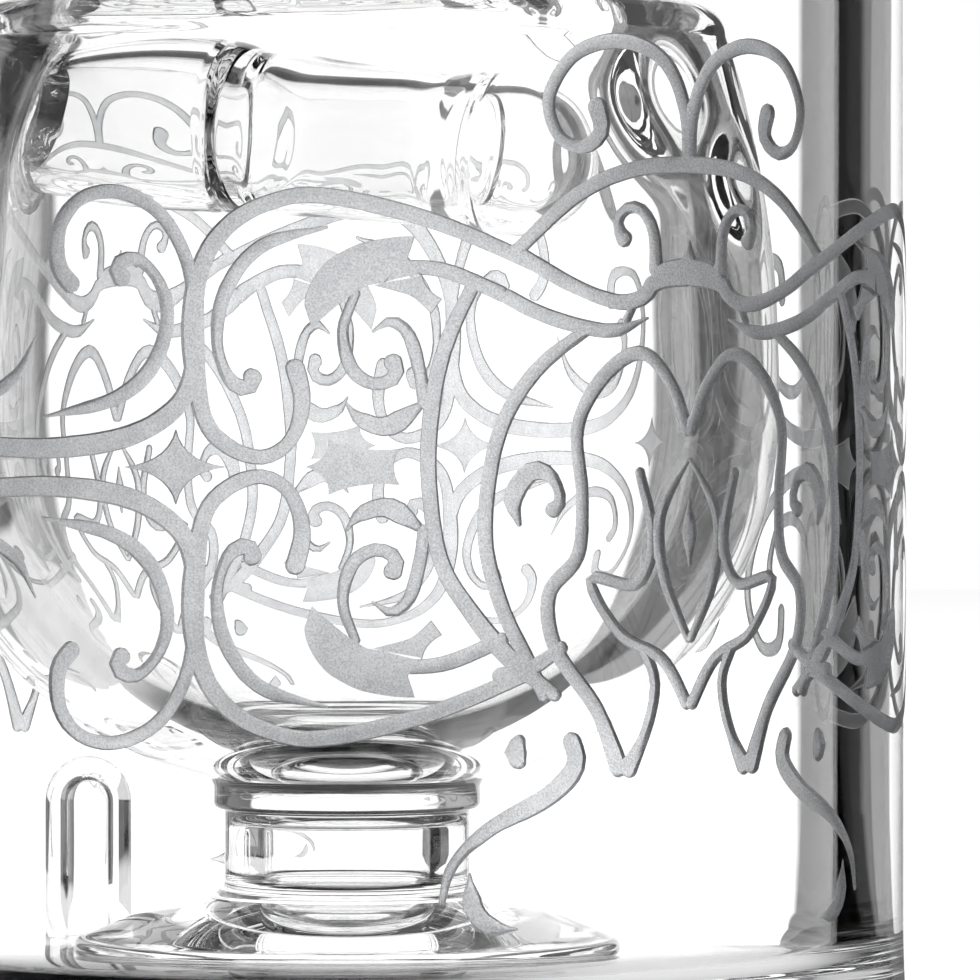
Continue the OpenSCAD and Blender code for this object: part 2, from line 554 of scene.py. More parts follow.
@dataclass(frozen=True)
class SlopingTube:
    """The round-ended tube with its two seal beads, lying across the top of the bowl."""

    radius: float = 3.4
    wall: float = 0.9
    end: tuple[float, float, float] = (7.4, -5.0, 38.8)
    bearing: float = 160.0
    slope: float = 4.7
    skirt: float = 1.7
    weld: float = 13.5
    weld_outside: tuple[Point, ...] = ((0.35, 0.0), (0.22, 0.05), (0.0, 0.16))
    weld_inside: tuple[Point, ...] = ((0.6, 0.0), (0.3, 0.12), (0.0, 0.3))
    necks: tuple[float, ...] = (3.4, 11.6)
    neck_depth: float = 0.22
    bead: float = 0.9
    bowl_face_r: float = 17.6
    bore_r: float = 22.0
    trim: tuple[float, float] = (10.0, 56.0)
    length: float = 44.0
    steps: int = 96

    def run_to(self, radius: float) -> float:
        """Distance along the tube from its round end to a distance from the glass's axis.

        Args:
            radius: distance from the glass's axis, in millimetres.

        Returns:
            Distance along the tube, in millimetres.
        """
        flat = math.cos(math.radians(self.slope))
        turn = math.radians(self.bearing)
        along = flat * (self.end[0] * math.cos(turn) + self.end[1] * math.sin(turn))
        spare = self.end[0] ** 2 + self.end[1] ** 2 - radius ** 2
        return (math.sqrt(along ** 2 - flat ** 2 * spare) - along) / flat ** 2

    def bead_places(self) -> tuple[float, float]:
        """Where along the tube the two seal beads are."""
        return (self.run_to(self.bowl_face_r) + 0.25, self.run_to(self.bore_r) - 0.25)

    def placed(self) -> Matrix:
        """Placement of the tube's own axis, which runs along +Z from its round end.

        Returns:
            The matrix that moves the upright tube into place.
        """
        turn = (Matrix.Rotation(math.radians(self.bearing), 4, "Z")
                @ Matrix.Rotation(math.radians(90 - self.slope), 4, "Y"))
        return Matrix.Translation(Vector(self.end) * MM) @ turn

    def outline(self, spare: float) -> list[Point]:
        """Outline of the tube's wall.

        Args:
            spare: how far the outside is shrunk, so that it clears its hole.

        Returns:
            Outline points with the glass on the left.
        """
        r = self.radius - spare
        inner = self.radius - self.wall
        bead = self.bead - spare
        outside = arc((0.0, 0.0), r, -90, 0, 24)
        seams = [self.weld_line(r, at, self.weld_outside) for at in (self.skirt, self.weld)]
        beads = []
        for at in self.bead_places():
            beads += arc((r, at), bead, -90, 90, 14)
        inside = [(inner, self.length)]
        for at in (self.weld, self.skirt):
            inside += self.weld_line(inner, at, self.weld_inside)[::-1]
        inside += arc((0.0, 0.0), inner, 0, -90, 24)
        outer = outside + seams[0] + self.necked(r) + seams[1] + beads
        return outer + [(r, self.length)] + inside

    def weld_line(self, r: float, at: float, sizes: tuple[Point, ...]) -> list[Point]:
        """Shallow dip where two lengths of tube are welded, the same before and after.

        Args:
            r: radius of the tube there.
            at: place of the weld along the tube.
            sizes: distance from the weld and depth of each point, the deepest one last.

        Returns:
            Outline points, going away from the round end.
        """
        before = [(r - deep, at - away) for away, deep in sizes]
        after = [(r - deep, at + away) for away, deep in sizes[-2::-1]]
        return before + after

    def necked(self, r: float) -> list[Point]:
        """Outside of the front length, drawn in a little beside each weld by the flame.

        Args:
            r: outside radius of the tube.

        Returns:
            Outline points between the two welds.
        """
        out = []
        for k in range(1, 40):
            at = self.skirt + 0.4 + (self.weld - self.skirt - 0.8) * k / 40
            draw = sum(math.exp(-((at - place) / 0.8) ** 2) for place in self.necks)
            out.append((r - self.neck_depth * draw, at))
        return out

    def plug_outline(self) -> list[Point]:
        """Outline of the solid that is cut out of the walls where the tube goes through.

        Returns:
            Outline points that start and end on the axis.
        """
        r = self.radius
        beads = []
        for at in self.bead_places():
            beads += arc((r, at), self.bead, -90, 90, 14)
        return ([(0.0, self.skirt + 6.0), (r, self.skirt + 6.0)] + beads
                + [(r, self.length + 1), (0.0, self.length + 1)])

    def plug(self) -> Object:
        """Make one cutter for a wall.

        Returns:
            A closed solid the shape of the tube and its beads.
        """
        mesh = turned_mesh("tube_plug", [self.plug_outline()], self.steps)
        mesh.transform(self.placed())
        return make_piece("tube_plug", mesh)

    def build(self, glass_r: float) -> Object:
        """Make the tube, cut flush with the outer glass.

        Args:
            glass_r: radius of the outer glass.

        Returns:
            The tube.
        """
        mesh = turned_mesh("sealed_tube", [self.outline(0.015)], self.steps)
        mesh.transform(self.placed())
        low, high = self.trim
        drum = turned_mesh("trim_drum", [[(0.0, low), (glass_r, low), (glass_r, high), (0.0, high)]], 384)
        return joined_or_cut(make_piece("sealed_tube", mesh), [make_piece("trim_drum", drum)],
                             "INTERSECT")


@dataclass(frozen=True)
class BackPost:
    """The small hollow round-topped post on the floor at the back left."""

    radius: float = 2.1
    height: float = 8.3
    wall: float = 1.1
    reach: float = 17.3
    bearing: float = 136.6
    floor: float = 3.5

    def build(self) -> Object:
        """Make the post.

        Returns:
            The post, open underneath.
        """
        base = self.floor + 0.02
        top = self.floor + self.height - self.radius
        inner = self.radius - self.wall
        outline = ([(inner, base), (self.radius, base)] + arc((0.0, top), self.radius, 0, 90, 20)
                   + arc((0.0, top), inner, 90, 0, 20))
        mesh = turned_mesh("hollow_post", [outline], 72)
        a = math.radians(self.bearing)
        mesh.transform(Matrix.Translation((self.reach * MM * math.cos(a), self.reach * MM * math.sin(a), 0)))
        return make_piece("hollow_post", mesh)


# ---------------------------------------------------------------- carved scrollwork


@dataclass(frozen=True)
class Stroke:
    """One carved line, drawn flat: distance round the glass from the crest, and height.

    Sizes are in millimetres. The half-widths are spread evenly along the line.
    """

    path: tuple[Point, ...]
    half: tuple[float, ...] = (0.33, 0.33)

    def spot(self, t: float) -> Point:
        """Point of a smooth curve through the path's points.

        Args:
            t: place along the path, counted in points.

        Returns:
            Distance round the glass, and height.
        """
        last = len(self.path) - 1
        i = min(int(t), last - 1)
        u = t - i
        a, b, c, d = (self.path[min(max(k, 0), last)] for k in (i - 1, i, i + 1, i + 2))
        if i == 0:
            a = (2 * b[0] - c[0], 2 * b[1] - c[1])
        if i == last - 1:
            d = (2 * c[0] - b[0], 2 * c[1] - b[1])
        return tuple(0.5 * (2 * b[k] + (c[k] - a[k]) * u + (2 * a[k] - 5 * b[k] + 4 * c[k] - d[k]) * u ** 2
                            + (3 * b[k] - 3 * c[k] + d[k] - a[k]) * u ** 3) for k in (0, 1))

    def width_at(self, share: float) -> float:
        """Half-width at a share of the length, eased between the given ones.

        Args:
            share: share of the length, from 0 to 1.

        Returns:
            The half-width, in millimetres.
        """
        place = share * (len(self.half) - 1)
        i = min(int(place), len(self.half) - 2)
        u = place - i
        ease = u * u * (3 - 2 * u)
        return self.half[i] + (self.half[i + 1] - self.half[i]) * ease

    def sampled(self, step: float) -> list[tuple[float, float, float]]:
        """Points along the line with their half-widths, closer together at its round ends.

        Args:
            step: distance between points.

        Returns:
            Distance round, height and half-width of each point.
        """
        fine = [self.spot(k / 24) for k in range(24 * (len(self.path) - 1) + 1)]
        run = [0.0]
        for p, q in zip(fine, fine[1:]):
            run.append(run[-1] + math.dist(p, q))
        length = run[-1]
        count = max(4, round(length / step))
        stops = [length * k / count for k in range(1, count)]
        for end, half in ((0.0, self.half[0]), (length, self.half[-1])):
            sign = 1 if end == 0 else -1
            stops += [end + sign * half * k for k in (0.0, 0.06, 0.22, 0.5, 0.8)]
        stops = sorted(stops)
        out = []
        k = 0
        for at in stops:
            if out and at - out[-1][3] < 0.03:
                continue
            while k < len(run) - 2 and run[k + 1] < at:
                k += 1
            u = (at - run[k]) / (run[k + 1] - run[k])
            x = fine[k][0] + (fine[k + 1][0] - fine[k][0]) * u
            y = fine[k][1] + (fine[k + 1][1] - fine[k][1]) * u
            half = self.width_at(at / length)
            near = min(at, length - at) / max(half, 0.01)
            if near < 1:
                half *= max(math.sqrt(1 - (1 - near) ** 2), 0.12)
            out.append((x, y, half, at))
        return [item[:3] for item in out]

    def flipped(self, middle: float) -> "Stroke":
        """The same line mirrored about a height."""
        return Stroke(tuple((x, 2 * middle - y) for x, y in self.path), self.half)


# Curls, commas and leaves on the side, drawn above the band's middle and repeated below it
SIDE_STROKES: tuple[Stroke, ...] = (
    Stroke(((27.2, 33.0), (28.1, 34.1), (28.0, 35.8), (26.9, 36.9), (25.2, 37.1), (23.4, 36.2),
            (22.2, 34.2), (21.8, 31.5), (22.1, 29.0), (23.3, 27.6), (25.6, 26.7), (29.5, 26.4),
            (33.5, 26.9), (36.8, 29.0), (38.0, 32.0), (36.6, 34.4), (34.4, 34.2), (34.0, 32.4)),
           (0.42, 0.3, 0.3, 0.42, 0.46, 0.42, 0.34, 0.3, 0.42)),
    Stroke(((7.2, 34.0), (12.0, 35.9), (16.5, 36.9), (19.0, 36.5), (20.7, 35.4), (21.7, 33.6),
            (21.95, 31.0), (21.5, 27.8), (20.5, 26.5), (19.0, 26.0), (17.8, 26.7), (17.3, 28.3),
            (17.7, 30.1)), (0.33, 0.34, 0.36, 0.34, 0.4, 0.5, 0.36, 0.3, 0.42)),
    Stroke(((16.2, 35.6), (19.0, 34.8), (20.5, 33.0), (20.9, 30.9), (20.4, 29.3), (19.6, 28.9),
            (19.3, 29.7)), (0.08, 0.3, 0.32, 0.25, 0.42)),
    Stroke(((24.9, 33.2), (25.3, 34.0), (24.4, 34.3), (23.4, 33.3), (23.05, 31.7), (23.8, 29.7),
            (25.6, 28.4), (28.9, 27.7)), (0.45, 0.25, 0.32, 0.36, 0.28, 0.06)),
    Stroke(((29.2, 31.1), (30.3, 29.4), (32.4, 28.5), (34.6, 29.0), (35.6, 30.8), (34.9, 31.9)),
           (0.06, 0.3, 0.34, 0.26, 0.42)),
    Stroke(((13.0, 33.95), (11.2, 33.75), (8.6, 32.7)), (0.3, 0.33, 0.33)),
    Stroke(((15.0, 33.0), (15.6, 31.3), (15.25, 29.7), (14.3, 29.05), (13.4, 29.4), (13.65, 30.3)),
           (0.2, 0.24, 0.3, 0.28, 0.42)),
    Stroke(((14.4, 31.2), (13.6, 31.65), (12.85, 31.1), (12.4, 29.6), (12.15, 28.0)),
           (0.06, 0.26, 0.3, 0.28, 0.3)),
    Stroke(((15.5, 28.3), (14.9, 27.6), (13.7, 27.3), (12.3, 28.2)), (0.05, 0.36, 0.46, 0.2)),
)


@dataclass(frozen=True)
class Field:
    """A carved flat shape: its corners, and how far each side is drawn in or swells out.

    A side's bend is a share of the way from its middle to the middle of the shape.
    """

    corners: tuple[Point, ...]
    bends: tuple[float, ...] = (0.36,)

    def outline(self, steps: int = 7) -> list[Point]:
        """Points round the shape, each side a smooth curve.

        Args:
            steps: points on each side.

        Returns:
            Distance round the glass and height of each point.
        """
        count = len(self.corners)
        middle = [sum(p[k] for p in self.corners) / count for k in (0, 1)]
        out = []
        for i, a in enumerate(self.corners):
            b = self.corners[(i + 1) % count]
            bend = 2 * self.bends[i % len(self.bends)]
            half = [(a[k] + b[k]) / 2 for k in (0, 1)]
            pull = [half[k] + (middle[k] - half[k]) * bend for k in (0, 1)]
            for j in range(steps):
                u = j / steps
                out.append(tuple((1 - u) ** 2 * a[k] + 2 * u * (1 - u) * pull[k] + u * u * b[k]
                                 for k in (0, 1)))
        return out

    def flipped(self, middle: float) -> "Field":
        """The same shape mirrored about a height."""
        return Field(tuple((x, 2 * middle - y) for x, y in self.corners), self.bends)


# Pointed stars on the middle of the band, the last one halfway to the next repeat
STARS: tuple[Field, ...] = (
    Field(((25.0, 25.6), (22.7, 27.15), (20.5, 25.6), (22.7, 24.05))),
    Field(((17.15, 25.6), (16.2, 26.75), (13.25, 26.35), (13.25, 24.85), (16.2, 24.45)),
          (0.2, 0.2, 0.12, 0.2, 0.2)),
    Field(((41.6, 25.6), (39.27, 27.1), (36.94, 25.6), (39.27, 24.1))),
)

# A leaf and the wedge beside it, drawn above the band's middle and repeated below it
SIDE_FIELDS: tuple[Field, ...] = (
    Field(((16.9, 31.4), (17.2, 32.3), (16.9, 33.3), (16.2, 34.2), (14.9, 34.9), (12.6, 35.2), (12.9, 34.3),
           (12.3, 33.55), (14.6, 33.15)), (0.0, -0.04, -0.04, -0.04, -0.06, 0.0, 0.0, 0.0, 0.16)),
    Field(((14.3, 33.15), (12.3, 33.65), (11.45, 32.6), (11.9, 32.0), (12.8, 32.75)),
          (-0.05, 0.25, 0.0, 0.2, 0.1)),
)

# Crest with horns, crown band and a palmette, drawn on one side of its axis
CREST_STROKES: tuple[Stroke, ...] = (
    Stroke(((0.0, 38.0), (0.2, 40.6), (1.3, 42.7), (3.4, 43.5), (5.6, 42.9), (6.8, 41.1), (6.4, 39.5),
            (5.3, 39.0), (4.4, 39.7), (4.7, 41.1)), (0.34, 0.33, 0.34, 0.3, 0.28, 0.46)),
    Stroke(((8.5, 34.4), (5.5, 37.0), (2.7, 38.15), (-0.3, 38.4)), (0.3, 0.34, 0.37)),
    Stroke(((3.1, 34.9), (3.6, 35.7), (3.3, 36.4), (2.5, 36.45), (1.85, 35.5), (1.7, 33.6)),
           (0.44, 0.25, 0.27, 0.28, 0.3, 0.36)),
    Stroke(((2.1, 33.1), (1.2, 33.7), (-0.3, 33.85)), (0.34, 0.58, 0.66)),
    Stroke(((0.0, 35.2), (0.0, 34.0)), (0.05, 0.5)),
    Stroke(((8.6, 34.75), (5.8, 33.25), (3.7, 32.55), (2.4, 32.75), (1.7, 33.6)),
           (0.34, 0.34, 0.32, 0.34, 0.4)),
    Stroke(((2.7, 32.7), (3.3, 31.6)), (0.2, 0.2)),
    Stroke(((8.9, 32.85), (7.4, 32.1), (5.4, 31.5), (3.7, 31.35), (2.1, 31.9)),
           (0.33, 0.33, 0.33, 0.3, 0.06)),
    Stroke(((9.9, 33.6), (11.0, 31.4), (11.6, 29.6), (11.95, 27.4), (12.0, 25.0), (11.5, 21.7),
            (10.1, 19.4), (8.4, 17.5), (6.3, 15.9)), (0.3, 0.34, 0.36, 0.34, 0.36, 0.42, 0.3)),
    Stroke(((4.7, 31.6), (7.0, 30.0), (8.5, 28.1), (9.3, 25.9), (9.6, 22.6), (8.9, 19.8), (7.8, 17.6),
            (6.9, 15.8)), (0.26, 0.32, 0.34, 0.34, 0.34, 0.34, 0.3)),
    Stroke(((9.3, 16.8), (7.6, 17.2), (6.0, 18.2)), (0.36, 0.34, 0.28)),
    Stroke(((0.0, 26.9), (0.9, 29.0), (2.4, 30.4), (4.2, 29.5), (5.5, 27.3), (5.3, 24.4), (5.5, 21.9),
            (6.8, 20.3), (6.5, 18.0), (4.6, 15.4), (3.4, 12.6)),
           (0.3, 0.3, 0.34, 0.3, 0.3, 0.34, 0.34, 0.34, 0.46)),
    Stroke(((2.5, 18.2), (1.8, 16.6), (2.2, 14.6), (3.3, 12.6)), (0.26, 0.26, 0.26, 0.46)),
    Stroke(((0.0, 26.0), (1.5, 23.6), (1.3, 20.9), (0.0, 18.2)), (0.1, 0.28, 0.28, 0.2)),
    Stroke(((0.0, 24.3), (0.0, 21.4)), (0.08, 0.38, 0.08)),
    Stroke(((2.6, 25.6), (1.9, 22.6), (2.7, 20.7), (4.9, 20.9), (3.5, 18.6), (1.4, 17.5), (0.0, 15.4)),
           (0.24, 0.28, 0.28, 0.26, 0.28, 0.3)),
    Stroke(((8.1, 23.1), (8.4, 24.3), (7.6, 25.4), (6.7, 25.2), (6.3, 24.2), (6.9, 23.6)),
           (0.12, 0.46, 0.42, 0.25, 0.36)),
    Stroke(((5.9, 14.5), (5.6, 13.1), (6.9, 11.8), (9.4, 10.5), (11.0, 9.0), (11.5, 7.3)),
           (0.42, 0.46, 0.42, 0.34, 0.24, 0.16)),
    Stroke(((8.0, 14.4), (8.3, 13.7), (8.0, 13.0)), (0.24, 0.5, 0.3)),
    Stroke(((10.3, 8.7), (10.1, 7.2), (9.3, 6.4), (8.2, 6.3)), (0.05, 0.42, 0.4, 0.05)),
)


@dataclass(frozen=True)
class Scrollwork:
    """The band of carved scrollwork that runs round the outer glass, twice the same.

    The lines are drawn flat. Geometry Nodes sweep a round tool along them, mirror and
    repeat them, bend them round the glass and fuse them into one cutter.
    """

    glass_r: float = 25.0
    crest_bearing: float = 36.4
    middle_z: float = 25.6
    depth: float = 0.22
    slope: float = 1.0
    plate_under: float = 1.2
    plate_tall: float = 3.0
    chatter: float = 0.05
    chatter_grain: float = 0.55
    step: float = 0.38

    def drawn(self) -> Object:
        """Draw half of one repeat as flat curves.

        Returns:
            Open curves for the strokes, and closed ones for the fields.
        """
        strokes = list(CREST_STROKES)
        fields = list(STARS)
        for stroke in SIDE_STROKES:
            strokes += [stroke, stroke.flipped(self.middle_z)]
        for field in SIDE_FIELDS:
            fields += [field, field.flipped(self.middle_z)]
        data = bpy.data.curves.new("scroll_lines", "CURVE")
        data.dimensions = "3D"
        for stroke in strokes:
            points = stroke.sampled(self.step)
            spline = data.splines.new("POLY")
            spline.points.add(len(points) - 1)
            for point, (x, y, half) in zip(spline.points, points):
                point.co = (x * MM, y * MM, 0.0, 1.0)
                point.radius = half * MM
        for field in fields:
            outline = field.outline()
            spline = data.splines.new("POLY")
            spline.points.add(len(outline) - 1)
            spline.use_cyclic_u = True
            for point, (x, y) in zip(spline.points, outline):
                point.co = (x * MM, y * MM, 0.0, 1.0)
        lines = bpy.data.objects.new("scroll_lines", data)
        bpy.context.scene.collection.objects.link(lines)
        return lines

    def filled(self, tree: NodeTree, given: NodeOutputs,
               outlines: NodeSocket) -> Node:
        """Fill the closed outlines and make them thick.

        Args:
            tree: the tree.
            given: the tree's inputs.
            outlines: the closed curves.

        Returns:
            Closed flat solids.
        """
        plate = add_node(tree, "GeometryNodeFillCurve", {"mode": "NGONS"}, Curve=outlines)
        lower = add_node(tree, "ShaderNodeMath", "MULTIPLY", given["Depth"], -self.plate_under)
        under = add_node(tree, "ShaderNodeCombineXYZ", Z=lower)
        sunk = add_node(tree, "GeometryNodeTransform", Geometry=plate, Translation=under)
        tall = add_node(tree, "ShaderNodeMath", "MULTIPLY", given["Depth"], self.plate_tall)
        raised = add_node(tree, "GeometryNodeExtrudeMesh", {"mode": "FACES"}, Mesh=sunk,
                          Offset_Scale=tall, Individual=False)
        bottom = add_node(tree, "GeometryNodeFlipFaces", Mesh=sunk)
        both = add_node(tree, "GeometryNodeJoinGeometry", Geometry=[raised, bottom])
        return add_node(tree, "GeometryNodeMergeByDistance", Geometry=both, Distance=0.001 * MM)

    def swept(self, tree: NodeTree, given: NodeOutputs,
              lines: NodeSocket) -> Node:
        """Sweep a round tool along the open lines, flatten its cut and make the edges uneven.

        Args:
            tree: the tree.
            given: the tree's inputs.
            lines: the open curves.

        Returns:
            Closed solids along the lines.
        """
        tool = add_node(tree, "GeometryNodeCurvePrimitiveCircle", Resolution=12, Radius=1.0)
        upright = add_node(tree, "GeometryNodeSetCurveNormal", {"mode": "Z_UP"}, Curve=lines)
        width = add_node(tree, "GeometryNodeInputRadius")
        cut = add_node(tree, "GeometryNodeCurveToMesh", Curve=upright, Profile_Curve=tool, Scale=width,
                       Fill_Caps=True)
        place = add_node(tree, "GeometryNodeInputPosition")
        flat = add_node(tree, "ShaderNodeSeparateXYZ", Vector=place)
        deep = add_node(tree, "ShaderNodeMath", "MULTIPLY", given["Depth"], -1.0)
        shallow = add_node(tree, "ShaderNodeMath", "MULTIPLY", flat.outputs["Z"], given["Slope"])
        low = add_node(tree, "ShaderNodeMath", "MAXIMUM", shallow, deep)
        high = add_node(tree, "ShaderNodeMath", "MINIMUM", low, given["Depth"])
        level = add_node(tree, "ShaderNodeCombineXYZ", X=flat.outputs["X"], Y=flat.outputs["Y"], Z=high)
        ragged = add_node(tree, "ShaderNodeTexNoise", Vector=place, Scale=1 / (self.chatter_grain * MM),
                          Detail=1.0)
        centred = add_node(tree, "ShaderNodeVectorMath", "SUBTRACT", ragged.outputs["Color"],
                           (0.5, 0.5, 0.5))
        chatter = add_node(tree, "ShaderNodeVectorMath", "MULTIPLY", centred,
                           (self.chatter * MM, self.chatter * MM, 0.0))
        return add_node(tree, "GeometryNodeSetPosition", Geometry=cut, Position=level, Offset=chatter)

    def repeated(self, tree: NodeTree, given: NodeOutputs,
                 shapes: Node) -> Node:
        """Mirror the shapes about the crest, and repeat the pair half-way round.

        Args:
            tree: the tree.
            given: the tree's inputs.
            shapes: half of one repeat.

        Returns:
            The whole band, still flat.
        """
        other = add_node(tree, "GeometryNodeTransform", Geometry=shapes, Scale=(-1, 1, 1))
        turned = add_node(tree, "GeometryNodeFlipFaces", Mesh=shapes)
        pair = add_node(tree, "GeometryNodeJoinGeometry", Geometry=[turned, other])
        half_way = add_node(tree, "ShaderNodeMath", "MULTIPLY", given["Glass radius"], math.pi)
        shift = add_node(tree, "ShaderNodeCombineXYZ", X=half_way)
        again = add_node(tree, "GeometryNodeTransform", Geometry=pair, Translation=shift)
        return add_node(tree, "GeometryNodeJoinGeometry", Geometry=[pair, again])

    def bent(self, tree: NodeTree, given: NodeOutputs,
             band: Node) -> Node:
        """Bend the flat band round the glass.

        Args:
            tree: the tree.
            given: the tree's inputs.
            band: the flat band.

        Returns:
            The round band.
        """
        place = add_node(tree, "GeometryNodeInputPosition")
        spot = add_node(tree, "ShaderNodeSeparateXYZ", Vector=place)
        share = add_node(tree, "ShaderNodeMath", "DIVIDE", spot.outputs["X"], given["Glass radius"])
        angle = add_node(tree, "ShaderNodeMath", "SUBTRACT", given["Crest bearing"], share)
        reach = add_node(tree, "ShaderNodeMath", "ADD", given["Glass radius"], spot.outputs["Z"])
        sine = add_node(tree, "ShaderNodeMath", "SINE", angle)
        cosine = add_node(tree, "ShaderNodeMath", "COSINE", angle)
        x = add_node(tree, "ShaderNodeMath", "MULTIPLY", reach, sine)
        y = add_node(tree, "ShaderNodeMath", "MULTIPLY", reach, cosine)
        back = add_node(tree, "ShaderNodeMath", "MULTIPLY", y, -1.0)
        round_glass = add_node(tree, "ShaderNodeCombineXYZ", X=x, Y=back, Z=spot.outputs["Y"])
        return add_node(tree, "GeometryNodeSetPosition", Geometry=band, Position=round_glass)

    def tree(self) -> GeometryNodeTree:
        """Build the tree that turns the drawn lines into a cutter round the glass.

        Returns:
            The tree.
        """
        tree = bpy.data.node_groups.new("carve_scrollwork", "GeometryNodeTree")
        face = tree.interface
        face.new_socket("Lines", in_out="INPUT", socket_type="NodeSocketGeometry")
        for name in ("Glass radius", "Depth", "Slope", "Crest bearing"):
            face.new_socket(name, in_out="INPUT", socket_type="NodeSocketFloat")
        face.new_socket("Frost", in_out="INPUT", socket_type="NodeSocketMaterial")
        face.new_socket("Cutter", in_out="OUTPUT", socket_type="NodeSocketGeometry")
        given = add_node(tree, "NodeGroupInput").outputs
        closed = add_node(tree, "GeometryNodeInputSplineCyclic")
        kinds = add_node(tree, "GeometryNodeSeparateGeometry", {"domain": "CURVE"}, Geometry=given["Lines"],
                         Selection=closed)
        fields = self.filled(tree, given, kinds.outputs["Selection"])
        strokes = self.swept(tree, given, kinds.outputs["Inverted"])
        shapes = add_node(tree, "GeometryNodeJoinGeometry", Geometry=[strokes, fields])
        band = self.bent(tree, given, self.repeated(tree, given, shapes))
        island = add_node(tree, "GeometryNodeInputMeshIsland")
        split = add_node(tree, "GeometryNodeSplitToInstances", {"domain": "FACE"}, Geometry=band,
                         Group_ID=island.outputs["Island Index"])
        fused = add_node(tree, "GeometryNodeMeshBoolean", {"operation": "UNION", "solver": "MANIFOLD"},
                         Mesh_2=split)
        real = add_node(tree, "GeometryNodeRealizeInstances", Geometry=fused)
        dressed = add_node(tree, "GeometryNodeSetMaterial", Geometry=real, Material=given["Frost"])
        add_node(tree, "NodeGroupOutput", Cutter=dressed)
        return tree

    def cutter(self, frost: Material) -> Object:
        """Make the cutter.

        Args:
            frost: the finish that the grooves get.

        Returns:
            A closed solid that stands half in and half out of the glass's outer face.
        """
        lines = self.drawn()
        tree = self.tree()
        step = lines.modifiers.new("carve", "NODES")
        step.node_group = tree
        values = {"Glass radius": self.glass_r * MM, "Depth": self.depth * MM, "Slope": self.slope,
                  "Crest bearing": math.radians(self.crest_bearing), "Frost": frost}
        for item in tree.interface.items_tree:
            if item.in_out == "INPUT" and item.name in values:
                step[item.identifier] = values[item.name]
        return frozen(lines, "scroll_cutter")


# ---------------------------------------------------------------- studio


@dataclass(frozen=True)
class Window:
    """A soft square light on the dark ring, with a dimmer glow round it.

    Sizes are in degrees as seen from the axis: half-width, half-height, the half-width of
    the glow, how soft the window's edge is, and how far the glow fades at its own edge. The
    glow grows a little brighter outwards, by the share in swell.
    """

    bearing: float
    wide: float = 28.5
    tall: float = 44.0
    glow: float = 45.6
    level: float = 1.5
    glow_level: float = 0.16
    soft: float = 0.8
    fade: float = 3.5
    swell: float = 1.3


